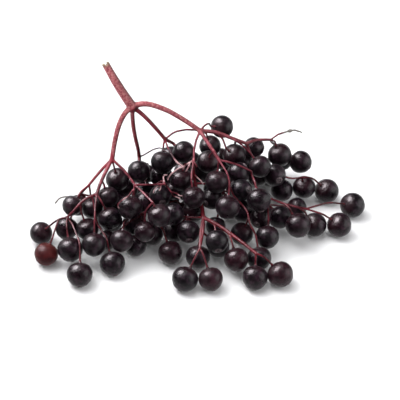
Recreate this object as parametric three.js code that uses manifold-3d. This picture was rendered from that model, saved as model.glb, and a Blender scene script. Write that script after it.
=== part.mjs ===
// A cut cluster of elderberries, lying on a surface with its stalk end in the air.
// Places are [x, y, z] in millimetres: x to the right, y back from the front berries, z up from the surface.
import * as THREE from "three";
import { mergeVertices } from "three/addons/utils/BufferGeometryUtils.js";
import Module from "manifold-3d";

const wasm = await Module();
wasm.setup();

// Berries
const berrySides = 8;
const unripeBerry = "left_berry_2";
const berryGap = 0.08; // between neighbours
const settleRounds = 60;
const floorSquash = 0.92; // height of a resting berry's centre over its radius
const calyxReach = 1.1; // the dried calyx ends this far from the centre, over the radius
const stalkDimple = 0.95; // the skin at the stalk's end lies this far from the centre, over the radius
const lowestCalyx = 0.3; // above the surface
const uprightLean = [-0.6, 0.8]; // the way a berry leans whose stalk would come from straight above
const uprightLimit = 0.05;

// Stems
const stemStep = 1.3; // length of one straight stretch of a stem
const bareStep = 0.75; // and of a bare twig
const pedicelWidth = 0.5;
const pedicelSides = 5;
const twigWidth = 0.6;
const twigSides = 6;
const bareWidth = 0.42;
const bareTip = 0.28;
const pedicelGap = 0.3; // between a pedicel's end and its berry
const pedicelRoot = 0.6; // how far a sprig's pedicel runs into its berry
const stemClearance = 0.32; // between a stem and the berries it passes
const sprigGap = 0.12; // where a sprig's twig meets the stalk
const leadIn = 1.3; // a pedicel runs straight towards its berry over this length
const knotSwell = 1.08;
const bendRounds = 40;
const bendSpread = 0.4; // how much of a bend its neighbouring places share
const easing = 0.03;
const bareEasing = 0.003; // a bare twig keeps its crooks
const smallKnot = 0.4; // a knot below this radius is plainer
const straightness = 0.14; // the most that a stem strays from a straight stretch
const thickStraightness = 0.02; // a stem of 1 mm radius strays this far at most, and a thicker one less

// Where the stems fork
const forks = {
  cutEnd: [-22, 34, 42],
  hub: [-16, 32, 31],
  left: [-21, 27, 19.1],
  leftOuter: [-26.5, 23.5, 14.1],
  leftFront: [-24.5, 20.5, 13.8],
  leftEnd: [-31.5, 17, 9.5],
  leftInner: [-15.5, 21.5, 15.7],
  leftCrook: [-11, 14.6, 16],
  leftCross: [-8.4, 22.4, 15.2],
  back: [-15, 34.5, 12.8],
  middle: [-8.5, 34, 19.8],
  middleEnd: [-6.5, 35.5, 17.3],
  crossing: [-3.9, 25.7, 17.8],
  right: [0, 32, 23.8],
  rightElbow: [11.5, 35.5, 17.3],
  rightOuter: [17.5, 39, 15.8],
  rightInner: [17, 35.6, 9.5],
  rightLow: [25.5, 21.5, 8.2],
  top: [4.5, 25.5, 20],
  topEnd: [12.3, 26, 16.2],
  string: [-1.5, 26, 19.5],
  front: [0.8, 17.2, 9.2],
  frontPair: [0, 7.8, 8],
  frontRight: [13, 6.5, 7.4],
};

// The branches, thickest first: the forks they join, their width at both ends and the places between.
const branches = [
  {
    from: "cutEnd",
    to: "hub",
    widths: [1.75, 2.3],
    sides: 10,
    through: [[-20, 32.8, 38.3], [-17.7, 32.2, 34]],
  },
  {
    from: "hub",
    to: "left",
    widths: [1.35, 1.15],
    sides: 8,
    through: [
      [-17.3, 31.5, 30.2],
      [-18.5, 31, 28.3],
      [-19.5, 30, 26],
      [-20.1, 29.3, 23.7],
      [-20.6, 28.3, 21.3],
    ],
  },
  {
    from: "hub",
    to: "back",
    widths: [1.1, 0.9],
    sides: 8,
    through: [[-16, 32, 26], [-15.5, 32.7, 20.5], [-15, 34, 16]],
  },
  {
    from: "hub",
    to: "middle",
    widths: [1.1, 0.95],
    sides: 8,
    through: [[-13.6, 32.2, 28.5], [-9.7, 33.4, 22.2]],
  },
  { from: "middle", to: "middleEnd", widths: [0.95, 0.75], sides: 6, through: [[-7.5, 34.8, 18.5]] },
  {
    from: "middle",
    to: "crossing",
    widths: [0.5, 0.46],
    sides: 5,
    through: [
      [-8, 31.9, 19.2],
      [-7.4, 30.6, 18.6],
      [-6.6, 29.6, 18],
      [-5.9, 28.6, 17.2],
      [-5, 27.3, 17.1],
    ],
  },
  {
    from: "hub",
    to: "right",
    widths: [1.4, 1.15],
    sides: 8,
    through: [
      [-13.7, 32.6, 31.5],
      [-11.7, 33, 30.9],
      [-9.5, 33, 30],
      [-7, 33, 28.7],
      [-4.8, 32.8, 27.2],
      [-2.4, 32.5, 25.6],
    ],
  },
  {
    from: "left",
    to: "leftOuter",
    widths: [0.8, 0.65],
    sides: 6,
    through: [[-23, 26, 17.5], [-24.6, 25, 15.9]],
  },
  {
    from: "left",
    to: "leftFront",
    widths: [0.95, 0.8],
    sides: 8,
    through: [[-22.3, 25, 17.4], [-23.5, 23, 15.7]],
  },
  {
    from: "leftFront",
    to: "leftEnd",
    widths: [0.7, 0.6],
    sides: 6,
    through: [[-26.5, 19.5, 13.6], [-28.2, 18.5, 12.9], [-30.2, 17.6, 11]],
  },
  {
    from: "left",
    to: "leftInner",
    widths: [0.7, 0.6],
    sides: 6,
    through: [[-19.2, 25.7, 18.2], [-17.3, 24, 17]],
  },
  {
    from: "leftInner",
    to: "leftCrook",
    widths: [0.6, 0.5],
    sides: 6,
    through: [[-14, 19, 16], [-12.4, 16.7, 16.2]],
  },
  {
    from: "leftInner",
    to: "leftCross",
    widths: [0.5, 0.5],
    sides: 6,
    through: [[-13, 21.9, 15.3], [-11, 22.2, 15.2]],
  },
  {
    from: "right",
    to: "rightElbow",
    widths: [1.05, 0.85],
    sides: 8,
    through: [[2.6, 33.3, 22.7], [5, 34, 21.5], [7.5, 34.2, 20]],
  },
  {
    from: "rightElbow",
    to: "rightOuter",
    widths: [0.85, 0.65],
    sides: 8,
    through: [[13.5, 37, 17.2], [15.5, 38, 16.7]],
  },
  {
    from: "rightElbow",
    to: "rightInner",
    widths: [0.55, 0.55],
    sides: 6,
    through: [[12.3, 34.8, 15], [14, 34.2, 12.5]],
  },
  { from: "right", to: "top", widths: [0.95, 0.8], sides: 8, through: [[1.2, 30, 22.9], [3, 27.7, 21.5]] },
  { from: "top", to: "topEnd", widths: [0.55, 0.5], sides: 6, through: [[7, 26, 19], [9.5, 26, 18]] },
  {
    from: "topEnd",
    to: "rightLow",
    widths: [0.55, 0.62],
    sides: 6,
    through: [
      [12.8, 25.2, 14],
      [13.7, 24.8, 11.6],
      [15.2, 24.2, 10.2],
      [17, 23.2, 10],
      [20, 22, 9.4],
      [23.3, 21.6, 8.7],
    ],
  },
  { from: "right", to: "string", widths: [0.6, 0.55], sides: 6, through: [[-1, 30, 22.5], [-1.5, 28, 21]] },
  {
    from: "string",
    to: "front",
    widths: [0.75, 1.05],
    sides: 6,
    through: [[-1.5, 27, 15.6], [-1.4, 27, 13], [-0.9, 25.8, 11], [0.4, 21.5, 9.9]],
  },
  { from: "string", to: "crossing", widths: [0.5, 0.46], sides: 5, through: [[-3.1, 25.6, 18.9]] },
  {
    from: "front",
    to: "frontPair",
    widths: [0.75, 0.62],
    sides: 6,
    through: [[0.4, 14.5, 8.9], [0, 11, 8.4]],
  },
  {
    from: "front",
    to: "frontPair",
    widths: [0.75, 0.62],
    sides: 6,
    through: [[0.95, 14.5, 8.9], [0.5, 11, 8.4]],
  },
  {
    from: "front",
    to: "frontRight",
    widths: [1.0, 0.78],
    sides: 6,
    through: [[2.5, 15.9, 9.1], [4.4, 14.7, 8.9], [6.2, 13.2, 8.6], [8, 11.4, 8.4], [10.2, 9.2, 8.1]],
  },
];

// Twigs that lost their berries: they thin out to a free end.
const bareTwigs = [
  [[17.5, 39, 15.8], [19.5, 41, 16], [21.7, 42.3, 15.9], [24, 43.3, 15.6], [25.7, 43.3, 14.8]],
  [[22.3, 42.4, 15.8], [23, 43.4, 15.2]],
  [[-28.4, 22.4, 12.8], [-30, 23, 10.4], [-32.5, 24.4, 9.7], [-34.2, 24.5, 8.9], [-35.2, 24, 7.8]],
  [[-8.4, 22.4, 15.2], [-8.6, 23.5, 15.4], [-8.8, 24.5, 15.9], [-8.3, 24.5, 16.3], [-7.8, 24.3, 16.4]],
  [[-9.3, 22.4, 15.2], [-9.3, 22.1, 14.2], [-9.7, 21.4, 14]],
  [[-16, 18.6, 16.1], [-16.9, 16.8, 15.9], [-18.1, 16.2, 15.1], [-18.8, 15.9, 14.1], [-19, 15.7, 13.2]],
  [
    [-15, 34.3, 13.5],
    [-13.6, 35, 14.3],
    [-12.3, 34.9, 15.5],
    [-11, 34.5, 16.4],
    [-9.8, 33.4, 17.6],
    [-8.9, 31.4, 18.5],
    [-8.1, 30.4, 18.7],
  ],
  [
    [-3.9, 25.7, 17.8],
    [-5, 25.7, 17.4],
    [-6.1, 25.1, 17],
    [-7, 24.6, 16.4],
    [-7.5, 24.5, 15.7],
    [-7.7, 24, 15],
  ],
  [[-2.4, 25.7, 19.3], [-2.8, 24.1, 18.7], [-3.4, 23.9, 17.8]],
  [[-1.5, 26, 19.5], [-1.1, 24.3, 19.8], [-0.7, 24.2, 19]],
  [[-1.4, 27, 14], [-0.5, 24.6, 15.2], [0.4, 23.2, 15.3], [0.8, 22.9, 14.5]],
  [
    [-8.4, 22.4, 15.2],
    [-7.6, 22.7, 13.8],
    [-6.9, 21.9, 13.1],
    [-6.2, 21.8, 11.8],
    [-5.3, 21.5, 11.9],
    [-4.7, 20.7, 11.8],
  ],
  [[-6.9, 21.9, 13.1], [-5.5, 22, 12.6], [-4.8, 21.3, 12.4], [-4.2, 20.5, 13.1]],
  [[-8.4, 22.4, 15.2], [-10, 22.6, 14.3], [-10.6, 22.3, 13.9], [-11.1, 21.7, 13.7], [-11.1, 21.2, 13.4]],
];

// Berries on pedicels of their own. Each has its width, its place, the stem place that its pedicel
// leaves from and any places that the pedicel bends through. A berry may say which side its stalk is on.
const singles = {
  left: [
    {
      width: 5.4,
      at: [-38.5, 18.5, 3],
      from: [-31.5, 17, 9.5],
      through: [[-33.5, 17, 9], [-35.4, 17, 7.3]],
    },
    {
      width: 5.6,
      at: [-36.5, 11, 3],
      from: [-34.2, 16.9, 8.5],
      through: [[-34.5, 14.7, 7.5], [-34.8, 13, 6.6]],
    },
    { width: 6, at: [-30.5, 10.5, 5], from: [-31.5, 17, 9.5], through: [[-31.5, 13.8, 9.4]] },
    {
      width: 6,
      at: [-28, 4, 3],
      from: [-31.5, 16.8, 9.4],
      through: [[-30, 15, 8.7], [-29, 12, 8.3], [-28, 9.6, 7.8]],
    },
    {
      width: 6,
      at: [-20.5, 8, 3],
      from: [-24.6, 17.5, 13.1],
      through: [[-24.9, 17.6, 10.5], [-24.7, 16.7, 8.6], [-23.4, 15, 7.4], [-22.1, 12.4, 6.9]],
    },
    {
      width: 5.7,
      at: [-25, 10.5, 6.5],
      from: [-24.5, 20.5, 13.8],
      through: [[-24.7, 17, 13], [-24.7, 14, 11.5]],
    },
    {
      width: 5.5,
      at: [-18.5, 11, 7],
      from: [-15.5, 21.5, 15.7],
      through: [[-15.7, 20.7, 13], [-15.9, 19.6, 10.2], [-17.2, 16.4, 9.4], [-18, 13.9, 9.9]],
    },
    { width: 5.4, at: [-27, 16.5, 6], from: [-28, 18.6, 13], through: [[-28.3, 17.4, 11]] },
    { width: 4.9, at: [-30.5, 20, 10.5], from: [-26.5, 23.5, 14.1], through: [[-28.4, 22.4, 13]] },
    { width: 5.3, at: [-26, 22, 8], from: [-26.5, 23.5, 14.1], through: [[-26.4, 23, 12.4]] },
    { width: 5.4, at: [-21.5, 17.5, 9], from: [-24.5, 20.5, 13.8], through: [[-23.3, 18.5, 13]] },
    { width: 5.1, at: [-22, 21.5, 11.5], from: [-23.3, 23.2, 15.8], through: [] },
    { width: 5.7, at: [-20, 28, 12], from: [-21, 27, 18.5], through: [] },
    { width: 5.8, at: [-16.5, 17, 12.5], from: [-15.5, 21.5, 15.7], through: [[-15.5, 19, 16.4]] },
    {
      width: 5.1,
      at: [-13, 13.5, 8],
      from: [-11, 14.6, 16],
      through: [[-12.7, 14.8, 13.4], [-12.9, 14.9, 11.9]],
    },
    { width: 5.5, at: [-9.5, 14, 12.5], from: [-11, 14.6, 16], through: [] },
    {
      width: 5.8,
      at: [-7, 11.5, 3],
      from: [-13.2, 14.8, 12.4],
      through: [[-11.2, 17.3, 10], [-9.5, 15, 8.7], [-8, 13, 7.7]],
    },
  ],
  top: [
    {
      width: 5.8,
      at: [6.5, 17, 12.5],
      from: [4.5, 25.5, 20],
      through: [[6.2, 22.8, 18.9], [7.1, 20.4, 17.4]],
    },
    { width: 5.8, at: [14, 19.5, 12.5], from: [12.5, 25.6, 15.2], through: [[12.9, 23.3, 16]] },
    { width: 5.6, at: [4, 24, 14.5], from: [4.5, 25.5, 20], through: [] },
    {
      width: 5.4,
      at: [-1.5, 20, 13],
      from: [-1.5, 26, 19.5],
      through: [[-2, 23.7, 18.1], [-2, 21.6, 16.8]],
    },
    {
      width: 5.5,
      at: [-4.5, 25.5, 14],
      from: [-3.9, 25.7, 17.8],
      through: [],
    },
    { width: 5.8, at: [-9, 31, 15], from: [-8.8, 33.6, 20], through: [] },
    { width: 5.5, at: [-15, 30.5, 12.5], from: [-15, 34.3, 14.5], through: [] },
    { width: 5.5, at: [-4, 33, 16.5], from: [-6.5, 35.5, 17.3], through: [] },
    { width: 5.5, at: [2, 30.5, 15.5], from: [3, 27.7, 21.5], through: [[2.6, 28.2, 20]] },
    {
      width: 5.3,
      at: [2.5, 37.5, 15],
      from: [-8.5, 34.2, 20],
      through: [[-6.8, 35.2, 20.8], [-4, 36.2, 21.1], [-0.7, 36.6, 20.6], [1.5, 37.2, 19.4]],
    },
    {
      width: 5.6,
      at: [5.5, 39.5, 19.5],
      from: [0, 32, 23.8],
      through: [[1.2, 33.8, 24.4], [2.3, 35.4, 23.7]],
      stalkSide: [-0.7, -0.6, 0.45],
    },
    {
      width: 5.7,
      at: [8.5, 35, 14],
      from: [4, 33.7, 22],
      through: [[5.7, 34.1, 19.8]],
      stalkSide: [-0.5, -0.35, 0.8],
    },
    {
      width: 5.4,
      at: [14.5, 30.5, 14],
      from: [7.5, 34.2, 20],
      through: [[10.2, 33.3, 18.8], [12, 32, 17.5]],
    },
  ],
  right: [
    { width: 5.9, at: [20, 39, 11], from: [17.5, 39, 15.8], through: [[18.6, 39.4, 15]] },
    { width: 5.6, at: [18.5, 32, 10], from: [17, 35.6, 9.5], through: [] },
    {
      width: 6.1,
      at: [32, 34.5, 3],
      from: [17, 35.6, 9.5],
      through: [[19.5, 35.3, 8.2], [21.8, 33.4, 8.1], [23.4, 32.4, 8.6], [25.5, 32.8, 9], [28, 33.4, 8.3]],
    },
    { width: 5.7, at: [26, 33.5, 5], from: [25.2, 32.7, 8.9], through: [] },
    {
      width: 6.2,
      at: [38, 29, 3],
      from: [25.5, 21.5, 8.2],
      through: [[27.5, 22.5, 8], [30, 24.5, 7.3], [33, 26.5, 6]],
    },
    { width: 6, at: [34, 21.5, 3], from: [25.5, 21.5, 8.2], through: [[27.5, 21, 7.8], [29.8, 21, 7]] },
    {
      width: 5.9,
      at: [28, 21.5, 3],
      from: [21, 21.9, 9.2],
      through: [[23.4, 20.8, 9.3], [25.6, 20.4, 8.2]],
    },
    { width: 6.1, at: [23.5, 18, 6], from: [20, 22, 9.4], through: [[21.2, 20.8, 9.8]] },
  ],
  front: [
    { width: 5.8, at: [-0.5, 10, 3], from: [0.1, 13.5, 8.6], through: [] },
    { width: 6.1, at: [-3.5, 2.5, 3], from: [0, 7.8, 8], through: [[-0.8, 6, 7.6]] },
    { width: 5.7, at: [2.5, 2.5, 3], from: [0, 7.8, 8], through: [[0.9, 5.8, 7.4]] },
    { width: 5.4, at: [4, 10.5, 7.5], from: [3.4, 15.5, 9], through: [] },
    {
      width: 5.8,
      at: [8.5, 7.5, 4.5],
      from: [5, 14.3, 8.9],
      through: [[6.6, 12.4, 8.4], [7.3, 10.6, 8.1]],
    },
    { width: 5.9, at: [13, 3, 3], from: [13, 6.5, 7.4], through: [] },
    { width: 6.1, at: [18.5, 4, 3], from: [13, 6.5, 7.4], through: [[14.8, 6, 7.2]] },
    {
      width: 5.7,
      at: [14, 9.5, 3],
      from: [7.1, 20.4, 17.4],
      through: [
        [7.3, 20.2, 15.2],
        [8.2, 20.5, 12.6],
        [9.6, 20.4, 11.1],
        [11.2, 18.5, 10.4],
        [11.7, 16.5, 9.9],
        [11.4, 14.8, 9.3],
        [13.2, 13, 8],
      ],
    },
    {
      width: 5.7,
      at: [16, 14.5, 5.5],
      from: [16.3, 23.5, 10],
      through: [[15.9, 21.8, 9.8], [16.1, 19, 9.3], [16.3, 16.8, 9]],
    },
    { width: 5.5, at: [10, 16.5, 4.5], from: [11.7, 16.5, 9.9], through: [] },
  ],
};

// Sprigs: small forks of berries inside and behind the cluster. Each is one solid, twig and berries.
const sprigs = [
  {
    from: [-15, 34.5, 12.8],
    fork: [-14, 35, 9],
    berries: [
      [5.4, -15, 35, 3.5],
      [5.4, -9.4, 39, 4],
      [5.2, -19, 31, 7],
      [5.2, -13, 30, 6],
      [5.2, -10, 32.5, 9.5],
      [4.5, -12.8, 35.2, 7.7],
    ],
  },
  {
    from: [-6.5, 35.5, 17.3],
    fork: [-4, 35, 11.5],
    berries: [
      [5.4, -4, 41, 4],
      [5.4, -2, 38.5, 9],
      [5.4, -7.5, 37, 12],
      [5.5, 0, 33.5, 10],
      [5.4, -3, 33, 4],
    ],
  },
  {
    from: [7.5, 34.2, 20],
    through: [[8.9, 38.2, 16.6]],
    fork: [8.5, 40, 12.5],
    berries: [
      [5.4, 5.3, 40.6, 8.5],
      [5.4, 11, 39.5, 8],
      [5.4, 8, 42, 4],
      [5.4, 2, 43, 4],
      [5.2, 13.5, 39.5, 13],
    ],
  },
  {
    from: [17, 35.6, 9.5],
    fork: [16, 38.3, 8],
    berries: [[5.3, 14.5, 35, 7.5], [5.4, 9, 35, 4], [5.4, 17, 40.3, 3.5], [5.5, 20.5, 32.5, 5]],
  },
  {
    from: [-8.4, 22.4, 15.2],
    through: [[-8.8, 24.8, 14.3]],
    fork: [-10.5, 27.5, 11],
    berries: [
      [5.2, -6.5, 28.5, 8.5],
      [5.3, -9.5, 23, 11],
      [5.4, -13.5, 24.5, 7.5],
      [5.4, -9.5, 23, 3],
      [5.4, -3, 27, 3],
      [5.2, -7.7, 29.7, 3.3],
    ],
  },
  {
    from: [-26.5, 23.5, 14.1],
    fork: [-29, 25, 10],
    berries: [
      [5.2, -30, 26.5, 5],
      [5.5, -32, 18, 5],
      [5.4, -25, 27, 3.5],
      [5.4, -21.5, 22.5, 3.5],
      [4.6, -20, 25.4, 7.1],
    ],
  },
  {
    from: [-13.2, 14.8, 12.4],
    fork: [-13.5, 18.5, 9.5],
    berries: [
      [5.3, -16, 18.5, 5.5],
      [5.3, -15.5, 14.5, 3],
      [5.3, -11, 18, 3],
      [5.4, -16, 23.5, 3],
      [4.8, -22.3, 15.3, 3.6],
    ],
  },
  {
    from: [0.8, 17.2, 9.2],
    fork: [-3.2, 19.3, 7.4],
    berries: [
      [5.3, -6.5, 18, 9.5],
      [5.5, -6.5, 18, 4],
      [5.5, -3, 15, 6.5],
      [5.3, -1.2, 22, 7.3],
      [5.3, 4.5, 13.5, 3],
    ],
  },
  {
    from: [-0.7, 25.3, 13],
    through: [[2, 27, 11.5]],
    fork: [5.5, 27.5, 8.7],
    berries: [
      [5.3, 2.5, 24, 9],
      [5.4, 8, 27, 3.5],
      [5.4, 10.5, 23, 6],
      [5.4, 3.5, 34, 4],
      [5.4, 9.5, 29.5, 13],
      [5.3, 10, 24, 12],
      [4.8, 3.8, 19.6, 4.2],
    ],
  },
  {
    from: [17, 23.2, 10],
    fork: [16.8, 24.5, 7],
    berries: [[5.3, 14.5, 19.5, 7], [5.4, 15, 27, 3.5], [5.6, 19.5, 22, 5], [4.9, 24, 27.5, 3.5]],
  },
  {
    from: [17.5, 39, 15.8],
    through: [[18, 41.5, 13]],
    fork: [21, 42.5, 9.5],
    berries: [[5.6, 21, 43.5, 6], [5.7, 25.5, 40, 8], [5.4, 14, 42, 4]],
  },
];

const stalkMaterial = new THREE.MeshStandardMaterial({ color: "#9a3c48", roughness: 0.6, metalness: 0 });
const ripeMaterial = new THREE.MeshStandardMaterial({ color: "#1d181d", roughness: 0.35, metalness: 0 });
const unripeMaterial = new THREE.MeshStandardMaterial({ color: "#5e2222", roughness: 0.4, metalness: 0 });

function point(place) {
  return new THREE.Vector3(...place);
}

function midway(one, other) {
  return one.clone().add(other).multiplyScalar(0.5);
}

// Pushes overlapping berries apart and keeps each above the surface that the cluster lies on.
function settle(berries) {
  for (let round = 0; round < settleRounds; round += 1) {
    berries.forEach((one, index) => {
      berries.slice(index + 1).forEach((other) => {
        const between = other.centre.clone().sub(one.centre);
        const lack = one.radius + other.radius + berryGap - between.length();
        if (lack > 0) {
          between.setLength(lack / 2);
          one.centre.sub(between);
          other.centre.add(between);
        }
      });
    });
    berries.forEach((one) => {
      one.centre.z = Math.max(one.centre.z, floorSquash * one.radius);
    });
  }
}

// Moves a stem's places off the berries that it would run through. Its two ends stay.
function bendRound(places, berries, stemRadius, ease = easing) {
  const last = places.length - 1;
  for (let round = 0; round < bendRounds; round += 1) {
    for (let i = 1; i < last; i += 1) {
      places[i].lerp(midway(places[i - 1], places[i + 1]), ease);
      berries.forEach(({ centre, radius }) => {
        const away = places[i].clone().sub(centre);
        const lack = radius + stemRadius + stemClearance - away.length();
        if (lack > 0) {
          away.setLength(lack);
          places[i].add(away);
          places[Math.max(i - 1, 1)].addScaledVector(away, bendSpread);
          places[Math.min(i + 1, last - 1)].addScaledVector(away, bendSpread);
        }
      });
      places[i].z = Math.max(places[i].z, stemRadius + stemClearance);
    }
  }
}

// Leaves out the places that lie on a straight stretch of a stem.
function thinned(places, stray) {
  const kept = [places[0]];
  let start = 0;
  for (let end = 2; end < places.length; end += 1) {
    const stretch = new THREE.Line3(places[start], places[end]);
    const between = places.slice(start + 1, end);
    const bent = between.some((place) => {
      const onStretch = stretch.closestPointToPoint(place, true, new THREE.Vector3());
      return onStretch.distanceTo(place) > stray;
    });
    if (bent) {
      start = end - 1;
      kept.push(places[start]);
    }
  }
  return [...kept, places.at(-1)];
}

// A round solid along the places, tapering from one radius to the other.
function taperedTube(places, startRadius, endRadius, sides) {
  const stations = thinned(places, Math.min(straightness, thickStraightness / startRadius));
  const steps = stations.length - 1;
  const tube = new THREE.CylinderGeometry(1, 1, 1, sides, steps);
  const normals = [];
  const binormals = [];
  const normal = new THREE.Vector3(0.31, 0.87, 0.38);
  stations.forEach((place, i) => {
    const before = stations[Math.max(i - 1, 0)];
    const tangent = stations[Math.min(i + 1, steps)].clone().sub(before).normalize();
    normal.addScaledVector(tangent, -normal.dot(tangent)).normalize();
    normals.push(normal.clone());
    binormals.push(tangent.cross(normal));
  });
  const vertices = tube.attributes.position;
  for (let i = 0; i < vertices.count; i += 1) {
    const step = Math.round((vertices.getY(i) + 0.5) * steps);
    const radius = THREE.MathUtils.lerp(startRadius, endRadius, step / steps);
    const vertex = stations[step].clone();
    vertex.addScaledVector(normals[step], vertices.getX(i) * radius);
    vertex.addScaledVector(binormals[step], -vertices.getZ(i) * radius);
    vertices.setXYZ(i, vertex.x, vertex.y, vertex.z);
  }
  return tube;
}

function knot(place, radius) {
  const ball = new THREE.IcosahedronGeometry(radius, radius > smallKnot ? 1 : 0);
  return ball.translate(place.x, place.y, place.z);
}

// A berry turned about its own axis: the stalk's dimple at the bottom, the dried calyx at the top.
function berryGeometry(radius) {
  const outline = [
    [0, -stalkDimple],
    [0.6, -0.81],
    [0.99, -0.15],
    [0.75, 0.68],
    [0.13, 0.94],
    [0, calyxReach],
  ].map(([across, along]) => new THREE.Vector2(across * radius, along * radius));
  return new THREE.LatheGeometry(outline, berrySides);
}

// The turn that brings a berry's stalk end to the side its stalk comes from.
function berryTurn(stalkSide) {
  return new THREE.Quaternion().setFromUnitVectors(new THREE.Vector3(0, -1, 0), stalkSide);
}

function solidOf(geometry) {
  const bare = geometry.clone();
  bare.deleteAttribute("normal");
  bare.deleteAttribute("uv");
  const merged = mergeVertices(bare, 1e-4);
  return new wasm.Manifold(
    new wasm.Mesh({
      numProp: 3,
      vertProperties: merged.attributes.position.array,
      triVerts: new Uint32Array(merged.index.array),
    }),
  );
}

function geometryOf(solid) {
  const mesh = solid.getMesh();
  const geometry = new THREE.BufferGeometry();
  geometry.setAttribute("position", new THREE.BufferAttribute(mesh.vertProperties, 3));
  geometry.setIndex(new THREE.BufferAttribute(mesh.triVerts, 1));
  geometry.computeVertexNormals();
  return geometry;
}

function joined(geometries) {
  return geometries.map(solidOf).reduce((whole, next) => whole.add(next));
}

// A resting berry is pressed flat where it touches the surface.
const underSurface = solidOf(new THREE.BoxGeometry(200, 200, 20).translate(0, 0, -10));

// The side of a berry that its stalk comes from: towards a place, but never so upright
// that the calyx opposite would press into the surface.
function sideTowards(berry, place) {
  const side = place.clone().sub(berry.centre).normalize();
  const steepest = (berry.centre.z - lowestCalyx) / (calyxReach * berry.radius);
  if (side.z > steepest) {
    const level = new THREE.Vector2(side.x, side.y);
    if (level.length() < uprightLimit) {
      level.set(...uprightLean);
    }
    level.setLength(Math.sqrt(1 - steepest * steepest));
    side.set(level.x, level.y, steepest);
  }
  return side;
}

function spaced(places, step = stemStep) {
  const curve = new THREE.CatmullRomCurve3(places, false, "centripetal");
  return curve.getSpacedPoints(Math.max(2, Math.ceil(curve.getLength() / step)));
}

// A pedicel's places, from the stem to just short of the berry.
function pedicelPlaces(start, through, berry, berries) {
  const end = berry.centre.clone().addScaledVector(berry.stalkSide, stalkDimple * berry.radius + pedicelGap);
  const lead = end.clone().addScaledVector(berry.stalkSide, Math.min(leadIn, start.distanceTo(end) / 2));
  const places = spaced([start, ...through, lead]);
  bendRound(places, berries, pedicelWidth / 2);
  return [...places, end];
}

function nearest(place, places) {
  const closer = (best, next) => (next.distanceTo(place) < best.distanceTo(place) ? next : best);
  return places.reduce(closer).clone();
}

function makeBerry({ width, at, from, through = [], stalkSide }) {
  const berry = { radius: width / 2, centre: point(at), from: point(from), through: through.map(point) };
  berry.givenSide = stalkSide && point(stalkSide).normalize();
  return berry;
}

// The berries, settled first, so that every stem can be laid round them.
const singleBerries = Object.entries(singles).flatMap(([branch, list]) =>
  list.map((entry, index) => ({ ...makeBerry(entry), name: `${branch}_berry_${index + 1}` })),
);
const sprigBerries = sprigs.map(({ fork, berries }) =>
  berries.map(([width, ...at]) => makeBerry({ width, at, from: fork })),
);
const allBerries = [...singleBerries, ...sprigBerries.flat()];
settle(allBerries);
allBerries.forEach((berry) => {
  berry.stalkSide = berry.givenSide ?? sideTowards(berry, berry.through.at(-1) ?? berry.from);
});

// The stalk: peduncle, rays, twigs and pedicels, which grew as one.
const stalkPieces = [];
const stalkPlaces = [];
branches.forEach(({ from, to, widths, sides, through }) => {
  const places = spaced([forks[from], ...through, forks[to]].map(point));
  bendRound(places, allBerries, widths[0] / 2);
  stalkPieces.push(taperedTube(places, widths[0] / 2, widths[1] / 2, sides));
  stalkPlaces.push(...places);
});
const { cutEnd, ...knots } = forks;
Object.entries(knots).forEach(([name, place]) => {
  const meeting = branches.flatMap(({ from, to, widths }) => [
    ...(from === name ? [widths[0]] : []),
    ...(to === name ? [widths[1]] : []),
  ]);
  stalkPieces.push(knot(nearest(point(place), stalkPlaces), (knotSwell * Math.max(...meeting)) / 2));
});
singleBerries.forEach((berry) => {
  const places = pedicelPlaces(nearest(berry.from, stalkPlaces), berry.through, berry, allBerries);
  stalkPieces.push(taperedTube(places, pedicelWidth / 2, pedicelWidth / 2, pedicelSides));
  stalkPlaces.push(...places.slice(0, -2));
});
bareTwigs.forEach((twig) => {
  const [start, ...rest] = twig.map(point);
  const places = spaced([nearest(start, stalkPlaces), ...rest], bareStep);
  bendRound(places, allBerries, bareWidth / 2, bareEasing);
  stalkPieces.push(taperedTube(places, bareWidth / 2, bareTip / 2, pedicelSides));
  stalkPlaces.push(...places);
});

// A sprig's twig starts on the stalk. Its first stretch belongs to the stalk, the rest to the sprig.
const sprigSolids = sprigs.map(({ from, through = [], fork }, index) => {
  const places = spaced([nearest(point(from), stalkPlaces), ...through.map(point), point(fork)]);
  bendRound(places, allBerries, twigWidth / 2);
  const split = Math.ceil(places.length / 2);
  stalkPieces.push(taperedTube(places.slice(0, split), twigWidth / 2, twigWidth / 2, twigSides));
  const joint = places[split - 1].clone();
  joint.addScaledVector(places[split].clone().sub(joint).normalize(), sprigGap);
  const own = [joint, ...places.slice(split)];
  const pieces = [
    taperedTube(own, twigWidth / 2, twigWidth / 2, twigSides),
    knot(own.at(-1), (knotSwell * twigWidth) / 2),
  ];
  sprigBerries[index].forEach((berry) => {
    const pedicel = pedicelPlaces(own.at(-1), [], berry, allBerries);
    pedicel.push(pedicel.at(-1).clone().addScaledVector(berry.stalkSide, -pedicelGap - pedicelRoot));
    const body = berryGeometry(berry.radius).applyQuaternion(berryTurn(berry.stalkSide));
    pieces.push(taperedTube(pedicel, pedicelWidth / 2, pedicelWidth / 2, pedicelSides));
    pieces.push(body.translate(...berry.centre));
  });
  return joined(pieces).subtract(underSurface);
});

const cluster = new THREE.Group();
const stalk = new THREE.Mesh(geometryOf(joined(stalkPieces)), stalkMaterial);
stalk.name = "stalk";
cluster.add(stalk);

singleBerries.forEach(({ name, radius, centre, stalkSide }) => {
  const turned = berryGeometry(radius).applyQuaternion(berryTurn(stalkSide));
  const flattened = solidOf(turned.translate(...centre)).subtract(underSurface);
  const skin = name === unripeBerry ? unripeMaterial : ripeMaterial;
  const berry = new THREE.Mesh(geometryOf(flattened), skin);
  berry.name = name;
  cluster.add(berry);
});

sprigSolids.forEach((solid, index) => {
  const sprig = new THREE.Mesh(geometryOf(solid), ripeMaterial);
  sprig.name = `sprig_${index + 1}`;
  cluster.add(sprig);
});

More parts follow.
